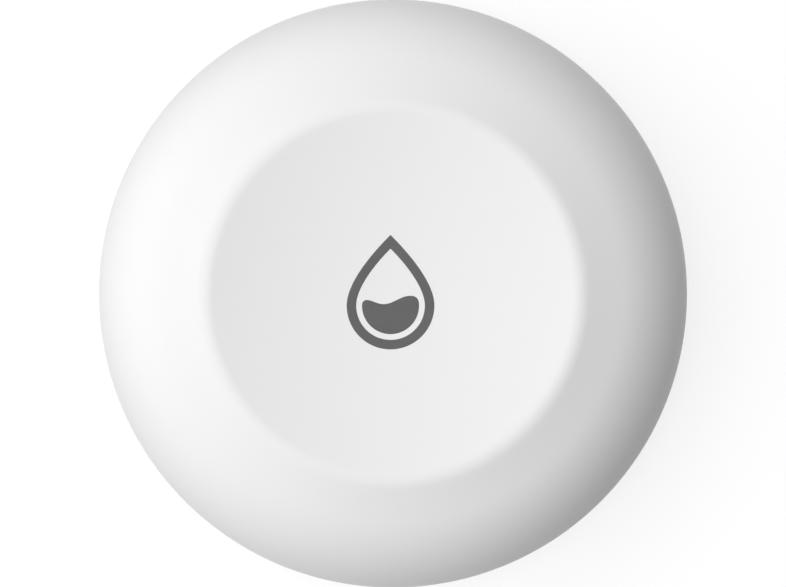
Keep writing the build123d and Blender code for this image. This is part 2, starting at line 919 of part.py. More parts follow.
def make_switch_dome():
    """Thin snap dome in the well: it clicks and lifts the plunger back."""
    well_floor = board_top + switch_body_height - switch_well_depth
    flange_low = (
        board_top + switch_body_height - plunger_flange_gap - plunger_flange_thickness
    )
    top = flange_low - dome_gap
    edge = switch_well_radius - plunger_flange_gap
    rise = top - well_floor
    ball = (edge**2 + rise**2) / (2 * rise)
    inner_ball = ball - dome_thickness
    inner_edge = math.sqrt(inner_ball**2 - (ball - rise) ** 2)
    half = edge / 2
    outer_arc = ThreePointArc(
        (0, top), (half, top - ball_drop(ball, half)), (edge, well_floor)
    )
    inner_top = top - dome_thickness
    inner_arc = ThreePointArc(
        (0, inner_top),
        (half, inner_top - ball_drop(inner_ball, half)),
        (inner_edge, well_floor),
    )
    foot = Line((edge, well_floor), (inner_edge, well_floor))
    axis = Line((0, top), (0, inner_top))
    return turned(outer_arc, inner_arc, foot, axis)


def make_radio_chip():
    """Square radio chip with a row of short leads along each side."""
    chip = block(chip_side, chip_side, board_top + chip_lead_height / 2, board_top + chip_height)
    lead = block(chip_lead_length, chip_lead_width, board_top, board_top + chip_lead_height)
    pitch = chip_side / (chip_lead_count + 1)
    edge = chip_side / 2
    for side in evenly(chip_sides):
        for n in range(chip_lead_count):
            along = pitch * (n + 1) - edge
            chip += Rot(0, 0, side) * Pos(edge, along, 0) * lead
    return around(chip_angle, chip_place, chip)


def make_crystal():
    can = block(crystal_length, crystal_width, board_top, board_top + crystal_height)
    can = fillet(can.edges().filter_by(Axis.Z), crystal_corner_radius)
    return around(crystal_angle, crystal_place, can)


def make_antenna():
    """Curved metal strip on two legs along the edge of the board."""
    outer = board_radius - antenna_inset
    inner = outer - strip_thickness
    low = board_top + antenna_lift
    top = low + antenna_band_height
    strip = sector(inner, outer, low, top, antenna_angle, antenna_sweep)
    leg = block(strip_thickness, antenna_leg_width, board_top, low + antenna_band_height / 2)
    place = inner + strip_thickness / 2
    first = antenna_angle - antenna_sweep / 2 + math.degrees(antenna_leg_width / place)
    for angle in (first, first + math.degrees(antenna_leg_pitch / place)):
        strip += around(angle, place, leg)
    return strip


def make_status_light():
    body = block(light_length, light_width, board_top, board_top + light_height / 2)
    lens = block(light_length / 2, light_width, board_top, board_top + light_height)
    return Pos(0, -light_place, 0) * (body + lens)


def make_light_pipe():
    """Clear pipe on a hollow foot that stands over the light."""
    top = dish_height(light_place, skin_thickness) - press_travel - pipe_top_gap
    foot_top = board_top + pipe_foot_height
    pipe = disc(pipe_foot_radius, board_top, foot_top) + disc(pipe_radius, board_top, top)
    hollow = block(
        light_length + pipe_hollow_gap,
        light_width + pipe_hollow_gap,
        board_top - overrun,
        board_top + light_height + pipe_hollow_gap,
    )
    return Pos(0, -light_place, 0) * (pipe - hollow)


def small_parts(length, width, height, count, place, first_angle, step_angle):
    """Row of small parts on an arc of the board's upper face."""
    part = block(width, length, board_top, board_top + height)
    return Compound(
        [around(first_angle + n * step_angle, place, part) for n in range(count)]
    )


def make_all():
    form = body_form()
    return {
        "top_shell": make_top_shell(form),
        "dish_skin": make_dish_skin(form),
        "press_plate": make_press_plate(),
        "base_shell": make_base_shell(form),
        "base_seal": make_base_seal(),
        "battery_cover": make_battery_cover(),
        "cover_seal": make_cover_seal(),
        "cell_pad": make_cell_pad(),
        "probe_screws": make_probe_screws(),
        "probe_seals": make_probe_seals(),
        "probe_sockets": make_probe_sockets(),
        "circuit_board": make_circuit_board(),
        "board_screws": make_board_screws(),
        "battery_tray": make_battery_tray(),
        "positive_contacts": make_positive_contacts(),
        "negative_contact": make_negative_contact(),
        "cell_can": make_cell_can(),
        "cell_gasket": make_cell_gasket(),
        "cell_cap": make_cell_cap(),
        "switch_body": make_switch_body(),
        "switch_frame": make_switch_frame(),
        "switch_plunger": make_switch_plunger(),
        "switch_dome": make_switch_dome(),
        "radio_chip": make_radio_chip(),
        "crystal": make_crystal(),
        "antenna": make_antenna(),
        "status_light": make_status_light(),
        "light_pipe": make_light_pipe(),
        "capacitors": small_parts(
            capacitor_length,
            capacitor_width,
            capacitor_height,
            capacitor_count,
            capacitor_place,
            capacitor_first_angle,
            capacitor_step_angle,
        ),
        "resistors": small_parts(
            resistor_length,
            resistor_width,
            resistor_height,
            resistor_count,
            resistor_place,
            resistor_first_angle,
            resistor_step_angle,
        ),
    }


def main():
    os.makedirs("parts", exist_ok=True)
    for name, shape in make_all().items():
        export_step(shape, f"parts/{name}.step")


main()
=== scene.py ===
import json
import bpy
import numpy as np
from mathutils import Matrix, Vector


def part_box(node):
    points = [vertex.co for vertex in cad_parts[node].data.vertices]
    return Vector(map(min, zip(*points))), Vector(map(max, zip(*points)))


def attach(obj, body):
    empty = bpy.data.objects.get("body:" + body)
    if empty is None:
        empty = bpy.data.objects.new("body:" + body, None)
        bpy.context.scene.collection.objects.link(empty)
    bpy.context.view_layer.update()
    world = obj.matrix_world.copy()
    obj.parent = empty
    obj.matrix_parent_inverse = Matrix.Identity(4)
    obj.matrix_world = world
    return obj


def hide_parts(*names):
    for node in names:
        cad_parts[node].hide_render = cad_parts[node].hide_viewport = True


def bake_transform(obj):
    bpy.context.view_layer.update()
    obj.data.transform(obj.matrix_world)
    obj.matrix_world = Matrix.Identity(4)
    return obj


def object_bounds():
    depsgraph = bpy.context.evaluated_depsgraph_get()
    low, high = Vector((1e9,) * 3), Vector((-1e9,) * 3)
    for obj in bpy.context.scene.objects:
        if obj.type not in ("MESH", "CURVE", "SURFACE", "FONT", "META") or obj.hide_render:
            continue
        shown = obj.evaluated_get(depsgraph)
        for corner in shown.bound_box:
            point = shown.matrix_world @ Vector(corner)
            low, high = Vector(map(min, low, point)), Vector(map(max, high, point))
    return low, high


# A round water leak sensor, seen from straight above on a white ground.
# Lengths are in metres, angles in degrees, lamps in watts, and +Z is up.

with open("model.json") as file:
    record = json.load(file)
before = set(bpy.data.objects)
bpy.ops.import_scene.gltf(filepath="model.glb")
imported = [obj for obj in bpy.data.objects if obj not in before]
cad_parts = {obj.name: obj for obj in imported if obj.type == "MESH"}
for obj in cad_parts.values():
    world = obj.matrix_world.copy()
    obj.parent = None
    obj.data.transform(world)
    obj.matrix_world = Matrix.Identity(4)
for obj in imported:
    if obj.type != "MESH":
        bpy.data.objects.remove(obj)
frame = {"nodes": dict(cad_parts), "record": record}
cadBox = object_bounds()
mm = 0.001
print("frame loaded:", len(frame["nodes"]), "nodes")


# Mesh tools. A shape is a grid of points: its rows follow one parameter and
# its columns the other, and the columns always run round and close.

usualSharpAngle = 30.0  # an edge that turns by more is drawn sharp


def roundAngles(segments):
    # Even angles in radians, once round, without the last that meets the first
    return np.linspace(0.0, 2.0 * np.pi, segments, endpoint=False)


def gridFaces(rows, columns, closeRows):
    # Each face joins a row to the next one and a column to the next one, and
    # the last column to the first. The last row meets the first if closeRows
    lastRow = rows if closeRows else rows - 1
    row, column = np.meshgrid(np.arange(lastRow), np.arange(columns), indexing="ij")
    nextRow = (row + 1) % rows
    nextColumn = (column + 1) % columns
    corners = (
        row * columns + column,
        row * columns + nextColumn,
        nextRow * columns + nextColumn,
        nextRow * columns + column,
    )
    return np.stack(corners, axis=-1).reshape(-1, 4)


def fanFaces(centreIndex, rowStart, columns, turnBack):
    # Triangles from one end point to each pair of neighbours on a row
    here = np.arange(columns)
    after = (here + 1) % columns
    first, second = (after, here) if turnBack else (here, after)
    centre = np.full(columns, centreIndex)
    return np.column_stack((centre, rowStart + first, rowStart + second))


def gridMesh(grid, endPoints=None):
    # Points and faces of one closed surface. Without end points its last row
    # joins its first, and with them a fan of triangles closes each end
    rows, columns = grid.shape[:2]
    points = grid.reshape(-1, 3)
    faces = gridFaces(rows, columns, endPoints is None).tolist()
    if endPoints is not None:
        count = len(points)
        points = np.vstack((points, endPoints))
        faces += fanFaces(count, 0, columns, True).tolist()
        faces += fanFaces(count + 1, (rows - 1) * columns, columns, False).tolist()
    return points, faces


def enclosedVolume(points, faces):
    # Sum of the signed cones from the origin to every face, cut in triangles
    first = points[[face[0] for face in faces]]
    total = 0.0
    for corner in (1, 2):
        pairs = [(face[corner], face[(corner + 1) % len(face)]) for face in faces]
        second, third = points[[pair[0] for pair in pairs]], points[[pair[1] for pair in pairs]]
        total += np.einsum("ij,ij->i", first, np.cross(second, third)).sum() / 6.0
    return total


def addPiece(name, shells, sharpAngle=usualSharpAngle):
    # One object from closed shells, each turned so that its faces point out
    allPoints, allFaces, start = [], [], 0
    for points, faces in shells:
        if enclosedVolume(points, faces) < 0.0:
            faces = [face[::-1] for face in faces]
        allPoints.append(points)
        allFaces += [[start + index for index in face] for face in faces]
        start += len(points)
    mesh = bpy.data.meshes.new(name)
    mesh.from_pydata(np.vstack(allPoints).tolist(), [], allFaces)
    mesh.shade_smooth()
    mesh.set_sharp_from_angle(angle=np.radians(sharpAngle))
    mesh.update()
    piece = bpy.data.objects.new(name, mesh)
    bpy.context.scene.collection.objects.link(piece)
    return piece


def revolve(profile, segments, poleHeights=None):
    # Each (radius, height) point of the profile goes once round the Z axis
    angles = roundAngles(segments)
    radius, height = profile[:, 0, None], profile[:, 1, None]
    grid = np.stack(
        (radius * np.cos(angles), radius * np.sin(angles), height + 0.0 * angles), axis=-1
    )
    if poleHeights is None:
        return gridMesh(grid)
    return gridMesh(grid, [(0.0, 0.0, level) for level in poleHeights])


def turnPoints(points, angle):
    # Points turned about the Z axis by an angle in radians
    cosine, sine = np.cos(angle), np.sin(angle)
    x = points[:, 0] * cosine - points[:, 1] * sine
    y = points[:, 0] * sine + points[:, 1] * cosine
    return np.column_stack((x, y, points[:, 2]))


def ellipseArc(centre, reach, rise, firstAngle, lastAngle, count):
    # Centre plus reach times cosine and rise times sine of each angle
    angles = np.radians(np.linspace(firstAngle, lastAngle, count))
    return np.column_stack((centre[0] + reach * np.cos(angles), centre[1] + rise * np.sin(angles)))


def bezier(controls, count):
    # Curve of any degree, by repeated mixing of neighbouring control points
    share = np.linspace(0.0, 1.0, count)[:, None]
    levels = [np.array(point, float) + 0.0 * share for point in controls]
    while len(levels) > 1:
        levels = [a * (1.0 - share) + b * share for a, b in zip(levels, levels[1:])]
    return levels[0]


def roundedLoop(count, squareness):
    # A square with rounded corners, -1 to 1: sign times a power of the cosine
    # and of the sine. The smaller the power, the sharper the corners
    angles = roundAngles(count)
    cosine, sine = np.cos(angles), np.sin(angles)
    across = np.sign(cosine) * np.abs(cosine) ** squareness
    up = np.sign(sine) * np.abs(sine) ** squareness
    return across, up


# The dished top: sizes that the shell, the dish floor and the sign share

shellBox, skinBox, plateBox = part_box("top_shell"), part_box("dish_skin"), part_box("press_plate")

topSettings = {
    "segments": 360,
    "skinThickness": 0.8 * mm,
    "dishDepth": 1.3 * mm,
    "shoulderReach": 9.15 * mm,  # waist to the crest, along the floor
    "edgeReach": 5.6 * mm,  # the outer part of it, which is rounded
    "slopeAngle": 21.0,  # fall of the straight part between the two
    "waistHeight": 6.3 * mm,
    "lowerReach": 5.3 * mm,
    "lowerRise": 5.7 * mm,
    "crestRadius": 2.7 * mm,
    "wall": 1.7 * mm,
    "partingBevel": 0.15 * mm,
    "ledgeWidth": 1.2 * mm,
    "ledgeThickness": 1.6 * mm,
    "collarWidth": 2.2 * mm,
    "profilePoints": {"flank": 12, "shoulder": 72, "slope": 14, "crest": 28, "ledge": 4, "ceiling": 28},
}

outerRadius = shellBox[1].x
partingHeight = shellBox[0].z
skinRadius = skinBox[1].x
plateRadius = plateBox[1].x
dishFloor = skinBox[0].z + topSettings["skinThickness"]
waistHeight = topSettings["waistHeight"]
crestEdge = outerRadius - topSettings["shoulderReach"]
crestHeight = dishFloor + topSettings["dishDepth"]
ballRadius = (crestEdge**2 + topSettings["dishDepth"] ** 2) / (2.0 * topSettings["dishDepth"])
apertureRadius = skinRadius - topSettings["ledgeWidth"]
collarOuter = apertureRadius + topSettings["collarWidth"]

# The rounded edge is an ellipse that starts as steep as the straight slope:
# its width follows from the edge's reach, its rise and that steepness
slopeFall = np.tan(np.radians(topSettings["slopeAngle"]))
slopeEdge = outerRadius - topSettings["edgeReach"]
edgeRise = crestHeight - (slopeEdge - crestEdge) * slopeFall - waistHeight
edgeLead = topSettings["edgeReach"] * slopeFall
shoulderWidth = topSettings["edgeReach"] * (edgeRise - edgeLead) / (edgeRise - 2.0 * edgeLead)
shoulderCentre = outerRadius - shoulderWidth
shoulderShare = (slopeEdge - shoulderCentre) / shoulderWidth
shoulderRise = edgeRise / np.sqrt(1.0 - shoulderShare**2)
innerWall = outerRadius - topSettings["wall"]
innerReach = shoulderWidth - topSettings["wall"]
innerRise = shoulderRise - topSettings["wall"]


def dishHeight(radius):
    # Lowest point of a large ball plus the rise of its surface away from it
    return dishFloor + ballRadius - np.sqrt(ballRadius**2 - radius**2)


def ceilingHeight(radius, wallShare):
    # Height in the shoulder's wall at a radius. A share of 1 is the inner
    # face, an ellipse whose two reaches are shorter by the wall. It is level
    # inside its centre
    lost = topSettings["wall"] * wallShare
    share = (radius - shoulderCentre) / (shoulderWidth - lost)
    return waistHeight + (shoulderRise - lost) * np.sqrt(1.0 - np.clip(share, 0.0, 1.0) ** 2)


def crestCurve(count):
    # The crest: a curve that starts along the slope and ends along the
    # dish. Its handle is the sharp corner of the two, and its ends lie one
    # tangent length (radius times tangent of half the turn) either side
    slope = np.radians(topSettings["slopeAngle"])
    dishSlope = np.arcsin(crestEdge / ballRadius)
    tangentLength = topSettings["crestRadius"] * np.tan((slope + dishSlope) / 2.0)
    outside = tangentLength * np.cos(slope)
    inside = crestEdge - tangentLength * np.cos(dishSlope)
    start = (crestEdge + outside, crestHeight - outside * slopeFall)
    end = (inside, dishHeight(inside))
    return bezier((start, (crestEdge, crestHeight), end), count)


def shellProfile():
    # Outline of the shell's wall, from the parting line up the outside, over
    # the crest, down the step of the dish floor and back along the inside
    count = topSettings["profilePoints"]
    bevel = topSettings["partingBevel"]
    lowerReach, lowerRise = topSettings["lowerReach"], topSettings["lowerRise"]
    lowerCentre = (outerRadius - lowerReach, waistHeight)
    rimAngle = -np.degrees(np.arcsin((waistHeight - partingHeight) / lowerRise))
    flankAngle = -np.degrees(np.arcsin((waistHeight - partingHeight - bevel) / lowerRise))
    rim = ellipseArc(lowerCentre, lowerReach, lowerRise, rimAngle, flankAngle, 2)
    flank = ellipseArc(lowerCentre, lowerReach, lowerRise, flankAngle, 0.0, count["flank"])
    slopeStart = np.degrees(np.arccos(shoulderShare))
    centre = (shoulderCentre, waistHeight)
    shoulder = ellipseArc(centre, shoulderWidth, shoulderRise, 0.0, slopeStart, count["shoulder"])
    crest = crestCurve(count["crest"])
    slope = np.linspace(shoulder[-1], crest[0], count["slope"])
    ledge = np.linspace(skinRadius, apertureRadius, count["ledge"])
    ledgeTop = np.column_stack((ledge, dishHeight(ledge) - topSettings["skinThickness"]))
    collarLow = ledgeTop[-1, 1] - topSettings["ledgeThickness"]
    ceilingAngle = np.degrees(np.arccos((collarOuter - shoulderCentre) / innerReach))
    ceiling = ellipseArc(centre, innerReach, innerRise, ceilingAngle, 0.0, count["ceiling"])
    parts = (
        [(rim[0, 0] - bevel, partingHeight)],
        flank,
        shoulder[1:],
        slope[1:],
        crest[1:],
        [(skinRadius, dishHeight(skinRadius))],
        ledgeTop,
        [(apertureRadius, collarLow), (collarOuter, collarLow)],
        ceiling,
        [(innerWall, partingHeight)],
    )
    return np.vstack(parts)


shellPiece = addPiece("shellCover", [revolve(shellProfile(), topSettings["segments"])])
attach(shellPiece, "housing")
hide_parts("top_shell")
print("shell made")


# Ribs under the shoulder, and the bosses that the board's screws bite into

ribSettings = {
    "count": 24,
    "thickness": 0.8 * mm,
    "depth": 0.9 * mm,
    "lowHeight": 7.2 * mm,  # where a rib ends on the wall
    "antennaAngle": 90.0,
    "clearAngle": 36.0,  # no rib this near to the antenna's middle, either side
    "rows": 20,
    "sectionPoints": 16,
    "squareness": 0.2,
}

bossSettings = {
    "count": 3,
    "radius": 2.1 * mm,
    "circle": 18.6 * mm,  # radius of the circle that the posts stand on
    "firstAngle": 30.0,
    "lowHeight": 7.7 * mm,
    "holeRadius": 0.9 * mm,
    "holeTop": 11.5 * mm,
    "topInWall": 0.5,  # share of the wall that the top reaches into
    "topRings": 6,
    "innerRingShare": 0.125,  # of the post's radius
    "segments": 48,
}


def ribShell(angle):
    # A thin arched bar: its rounded section, thickness by depth, is carried
    # along the inner wall's ellipse and reaches halfway into the wall
    startRadius = collarOuter - topSettings["collarWidth"] / 2.0
    startAngle = np.arccos((startRadius - shoulderCentre) / innerReach)
    endAngle = np.arcsin((ribSettings["lowHeight"] - waistHeight) / innerRise)
    along = np.linspace(startAngle, endAngle, ribSettings["rows"])[:, None]
    across, up = roundedLoop(ribSettings["sectionPoints"], ribSettings["squareness"])
    outward = topSettings["wall"] / 2.0
    offset = (up + 1.0) / 2.0 * (ribSettings["depth"] + outward) - ribSettings["depth"]
    radius = shoulderCentre + (innerReach + offset) * np.cos(along)
    height = waistHeight + (innerRise + offset) * np.sin(along)
    sideways = across * ribSettings["thickness"] / 2.0 + 0.0 * along
    grid = np.stack((radius, sideways, height), axis=-1)
    points, faces = gridMesh(grid, [grid[0].mean(axis=0), grid[-1].mean(axis=0)])
    return turnPoints(points, np.radians(angle)), faces


def bossShell(angle):
    # A post with a blind hole from below. Its top follows the middle of the
    # shoulder's wall, whose height depends on the distance from the axis
    radius, low = bossSettings["radius"], bossSettings["lowHeight"]
    hole, holeTop = bossSettings["holeRadius"], bossSettings["holeTop"]
    profile = np.array([(hole, holeTop), (hole, low), (radius, low), (radius, holeTop)])
    rings = bossSettings["topRings"]
    topRadii = np.linspace(radius, radius * bossSettings["innerRingShare"], rings)
    profile = np.vstack((profile, np.column_stack((topRadii, np.full(rings, holeTop + radius)))))
    points, faces = revolve(profile, bossSettings["segments"], (holeTop, holeTop + radius))
    points[:, 0] += bossSettings["circle"]
    isTop = points[:, 2] > holeTop + radius / 2.0
    fromAxis = np.hypot(points[:, 0], points[:, 1])
    inWall = ceilingHeight(fromAxis, bossSettings["topInWall"])
    points[:, 2] = np.where(isTop, inWall, points[:, 2])
    return turnPoints(points, np.radians(angle)), faces


def evenAngles(count, first):
    # The first angle plus whole steps of a full turn over the count
    return first + 360.0 / count * np.arange(count)


ribAngles = evenAngles(ribSettings["count"], 180.0 / ribSettings["count"])
ribAngles = ribAngles[np.abs(ribAngles - ribSettings["antennaAngle"]) > ribSettings["clearAngle"]]
ribPiece = addPiece("shellRibs", [ribShell(angle) for angle in ribAngles])
bossAngles = evenAngles(bossSettings["count"], bossSettings["firstAngle"])
bossPiece = addPiece("screwBosses", [bossShell(angle) for angle in bossAngles])
for insidePiece in (ribPiece, bossPiece):
    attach(insidePiece, "housing")
    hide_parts("top_shell")
print("ribs and bosses made")


# The dish floor, a skin that thins to a lip at its edge, and the rim under it

floorSettings = {
    "segments": 360,
    "rows": 90,
    "edgeThickness": 0.03 * mm,  # of the lip, where it meets the shell
    "rimDrop": 0.04 * mm,  # from the dish surface to the rim's top
    "rimLeadDrop": 0.12 * mm,
    "rimLeadWidth": 0.3 * mm,
    "rimTopPoints": 5,
    "rimLowPoints": 4,
    "stillMargin": 0.03 * mm,  # height above the ledge's edge that never moves
}


def floorProfile():
    # Top: the dish. Below: the skin's thickness as far as the press plate,
    # then thinner by a half cosine, so that the outer part is a thin lip
    radius = np.linspace(0.0, skinRadius, floorSettings["rows"])[1:]
    share = np.clip((radius - plateRadius) / (apertureRadius - plateRadius), 0.0, 1.0)
    thick, thin = topSettings["skinThickness"], floorSettings["edgeThickness"]
    thickness = thin + (thick - thin) * (1.0 + np.cos(np.pi * share)) / 2.0
    top = np.column_stack((radius, dishHeight(radius)))
    under = np.column_stack((radius, dishHeight(radius) - thickness))
    return np.vstack((top, under[::-1]))


def rimProfile():
    # Ring that fills the step below the lip, with its inner top edge lowered
    lead = floorSettings["rimLeadWidth"]
    outward = np.linspace(apertureRadius + lead, skinRadius, floorSettings["rimTopPoints"])
    top = np.column_stack((outward, dishHeight(outward) - floorSettings["rimDrop"]))
    inward = np.linspace(skinRadius, apertureRadius, floorSettings["rimLowPoints"])
    low = np.column_stack((inward, dishHeight(inward) - topSettings["skinThickness"]))
    leadPoint = (apertureRadius, dishHeight(apertureRadius) - floorSettings["rimLeadDrop"])
    return np.vstack(([leadPoint], top, low))


poleHeights = (dishFloor, dishFloor - topSettings["skinThickness"])
floorShell = revolve(floorProfile(), floorSettings["segments"], poleHeights)
floorPiece = addPiece("dishFloor", [floorShell])
rimPiece = addPiece("dishRim", [revolve(rimProfile(), floorSettings["segments"])])
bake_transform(floorPiece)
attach(rimPiece, "housing")
for dishPiece in (floorPiece, rimPiece):
    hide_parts("dish_skin")
print("dish floor made")


# The printed sign: a water drop with some water in it. It follows the dish

signSettings = {
    "centre": (-0.21 * mm, -1.015 * mm),
    "outerRadius": 3.69 * mm,
    "outerTip": 5.95 * mm,  # height of the tip above the centre
    "innerRadius": 2.89 * mm,
    "innerTip": 4.79 * mm,
    "tipHandleShare": 0.73,  # length of the curve's handle at the tip, of the radius
    "tipHalfAngle": 45.0,
    "sideHandleShare": 0.48,  # and of the one at the side
    "waterRadius": 2.42 * mm,
    "dipPlace": -0.60 * mm,
    "dipHeight": 0.09 * mm,
    "leftLobe": (1.49 * mm, 0.42 * mm),  # distance from the dip, and rise
    "rightLobe": (2.27 * mm, 0.76 * mm),
    "cornerRound": 0.48 * mm,
    "inkHeight": 0.02 * mm,
    "inkBite": 0.03 * mm,  # how far the ink reaches into the dish
    "sharpAngle": 40.0,
    "curvePoints": 60,
    "circlePoints": 120,
    "bandPoints": 28,
    "bandSquareness": 0.35,
    "wavePoints": 400,
    "evenPoints": 720,  # of the water's outline, while its corners are rounded
    "keepEvery": 3,  # and of these, once they are
    "fillRings": 16,
    "fillShares": (0.08, 0.96),  # innermost and outermost ring, of the outline
    "edgeRings": 9,
    "edgeShare": 0.03,  # width of the rounded edge, of the outline
}


def dropOutline(radius, tip):
    # Half circle below, and on each side a curve from the circle to the tip.
    # Both curves leave the circle upright and meet at the tip's angle
    angle = np.radians(signSettings["tipHalfAngle"])
    handle = signSettings["tipHandleShare"] * radius
    tipHandle = (handle * np.sin(angle), tip - handle * np.cos(angle))
    sideHandle = (radius, signSettings["sideHandleShare"] * radius)
    right = bezier(((radius, 0.0), sideHandle, tipHandle, (0.0, tip)), signSettings["curvePoints"])
    left = right[::-1] * (-1.0, 1.0)
    below = ellipseArc((0.0, 0.0), radius, radius, 180.0, 360.0, signSettings["circlePoints"])
    return np.vstack((right[:-1], left[:-1], below[:-1]))


def waterOutline():
    # Lower arc of a circle, closed by a wave: from its dip the wave rises to
    # each side by a half cosine. A moving mean rounds the two corners
    radius, dip = signSettings["waterRadius"], signSettings["dipPlace"]
    count, evenCount = signSettings["wavePoints"], signSettings["evenPoints"]
    across = np.linspace(-radius, radius, count)
    wave = np.full(count, signSettings["dipHeight"])
    for side, (reach, rise) in ((-1.0, signSettings["leftLobe"]), (1.0, signSettings["rightLobe"])):
        away = np.clip((across - dip) * side / reach, 0.0, None)
        wave += rise * (1.0 - np.cos(np.pi * away)) / 2.0
    inside = across**2 + wave**2 < radius**2
    level = np.column_stack((across[inside], wave[inside]))
    leftEnd = np.degrees(np.arctan2(level[0, 1], level[0, 0]))
    rightEnd = np.degrees(np.arctan2(level[-1, 1], level[-1, 0]))
    arc = ellipseArc((0.0, 0.0), radius, radius, leftEnd, 360.0 + rightEnd, count)
    loop = np.vstack((arc, level[::-1]))
    closed = np.vstack((loop, loop[:1]))
    steps = np.hypot(*np.diff(closed, axis=0).T)
    place = np.concatenate(([0.0], np.cumsum(steps)))
    evenPlace = np.linspace(0.0, place[-1], evenCount, endpoint=False)
    even = np.column_stack([np.interp(evenPlace, place, closed[:, axis]) for axis in (0, 1)])
    reach = int(signSettings["cornerRound"] / place[-1] * evenCount)
    moved = [np.roll(even, shift, axis=0) for shift in range(-reach, reach + 1)]
    return np.mean(moved, axis=0)[:: signSettings["keepEvery"]]


def inkPoints(flat, up):
    # Flat sign points moved to the sign's centre and laid on the dish: up is
    # 1 at the top of the ink and -1 at its underside
    x = flat[..., 0] + signSettings["centre"][0]
    y = flat[..., 1] + signSettings["centre"][1]
    height = np.where(up > 0.0, signSettings["inkHeight"], signSettings["inkBite"]) * up
    return np.stack((x, y, dishHeight(np.hypot(x, y)) + height), axis=-1)


def bandShell(outer, inner):
    # The rounded section goes round the band: across it from outer to inner
    across, up = roundedLoop(signSettings["bandPoints"], signSettings["bandSquareness"])
    share = ((1.0 - across) / 2.0)[None, :, None]
    flat = outer[:, None, :] * (1.0 - share) + inner[:, None, :] * share
    return gridMesh(inkPoints(flat, up[None, :] + 0.0 * flat[..., 0]))


def patchShell(outline):
    # Rings that shrink from the outline to its middle, above and below, with
    # a rounded edge between them
    edge = np.radians(np.linspace(90.0, -90.0, signSettings["edgeRings"]))
    rings, edgeShare = signSettings["fillRings"], signSettings["edgeShare"]
    fill = np.linspace(*signSettings["fillShares"], rings)
    share = np.concatenate((fill, 1.0 - edgeShare + edgeShare * np.cos(edge), fill[::-1]))
    up = np.concatenate((np.ones(rings), np.sin(edge), -np.ones(rings)))
    middle = outline.mean(axis=0)
    flat = middle + (outline - middle)[None, :, :] * share[:, None, None]
    grid = inkPoints(flat, up[:, None] + 0.0 * flat[..., 0])
    ends = inkPoints(np.array([middle, middle]), np.array([1.0, -1.0]))
    return gridMesh(grid, ends)


dropBand = bandShell(
    dropOutline(signSettings["outerRadius"], signSettings["outerTip"]),
    dropOutline(signSettings["innerRadius"], signSettings["innerTip"]),
)
bandPiece = addPiece("signDrop", [dropBand], signSettings["sharpAngle"])
waterPiece = addPiece("signWater", [patchShell(waterOutline())], signSettings["sharpAngle"])
for signPiece in (bandPiece, waterPiece):
    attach(signPiece, "press_button")
print("sign made")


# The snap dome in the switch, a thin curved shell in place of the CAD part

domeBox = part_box("switch_dome")

domeSettings = {
    "thickness": 0.08 * mm,
    "arcPoints": 25,
    "segments": 64,
}


def domeProfile():
    # Two arcs of circles about one centre on the axis, the outer one through
    # the dome's top and its edge, the inner one nearer by the thickness
    edge, low, top = domeBox[1].x, domeBox[0].z, domeBox[1].z
    ball = (edge**2 + (top - low) ** 2) / (2.0 * (top - low))
    centre = (0.0, top - ball)
    inner = ball - domeSettings["thickness"]
    outerEdge = np.degrees(np.arcsin((ball - top + low) / ball))
    innerEdge = np.degrees(np.arcsin((ball - top + low) / inner))
    count = domeSettings["arcPoints"]
    outside = ellipseArc(centre, ball, ball, 90.0, outerEdge, count)[1:]
    inside = ellipseArc(centre, inner, inner, innerEdge, 90.0, count)[:-1]
    return np.vstack((outside, inside))


domePoles = (domeBox[1].z, domeBox[1].z - domeSettings["thickness"])
domePiece = addPiece("snapDome", [revolve(domeProfile(), domeSettings["segments"], domePoles)])
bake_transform(domePiece)
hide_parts("switch_dome")
print("switch dome made")


# A raised arrow underneath, from the locked mark of the cover to the open one

arrowSettings = {
    "circle": 17.4 * mm,  # radius of the circle that the arrow is bent along
    "tailAngle": 50.0,
    "neckAngle": 34.0,
    "tipAngle": 28.5,
    "shaftWidth": 0.7 * mm,
    "headWidth": 1.9 * mm,
    "height": 0.28 * mm,
    "bite": 0.1 * mm,  # how far the arrow reaches into the base
    "squareness": 0.6,
    "sharpAngle": 40.0,
    "shaftRows": 24,
    "headRows": 14,
    "sectionPoints": 24,
}


def arrowShell():
    # A low bar bent along a circle: its half width is steady along the shaft,
    # jumps out at the neck and falls evenly to nothing at the tip
    neck, tipEnd = arrowSettings["neckAngle"], arrowSettings["tipAngle"]
    shaft = np.linspace(arrowSettings["tailAngle"], neck, arrowSettings["shaftRows"])
    head = np.linspace(neck, tipEnd, arrowSettings["headRows"])[:-1]
    fall = (head - tipEnd) / (head[0] - tipEnd)
    shaftWidth = np.full(len(shaft), arrowSettings["shaftWidth"])
    halfWidth = np.concatenate((shaftWidth, arrowSettings["headWidth"] * fall)) / 2.0
    angle = np.radians(np.concatenate((shaft, head)))
    across, up = roundedLoop(arrowSettings["sectionPoints"], arrowSettings["squareness"])
    radius = arrowSettings["circle"] + halfWidth[:, None] * across
    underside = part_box("battery_cover")[0].z
    level = underside + np.where(up > 0.0, arrowSettings["bite"], arrowSettings["height"]) * up
    grid = np.stack(
        (
            radius * np.cos(angle)[:, None],
            radius * np.sin(angle)[:, None],
            level[None, :] + 0.0 * radius,
        ),
        axis=-1,
    )
    tip = grid[-1].mean(axis=0)
    tipAngle = np.radians(tipEnd)
    tip[:2] = arrowSettings["circle"] * np.cos(tipAngle), arrowSettings["circle"] * np.sin(tipAngle)
    return gridMesh(grid, [grid[0].mean(axis=0), tip])


arrowPiece = addPiece("turnArrow", [arrowShell()], arrowSettings["sharpAngle"])
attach(arrowPiece, "housing")
print("arrow made")


# Finishes. Each one reads Object coordinates, and has its own colour
# variation, roughness and bump

noiseEdges = (0.3, 0.7)  # most values of a noise lie between these
broadDetail = 2.0  # how many finer layers a noise has
fineDetail = 3.0
streakDetail = 4.0


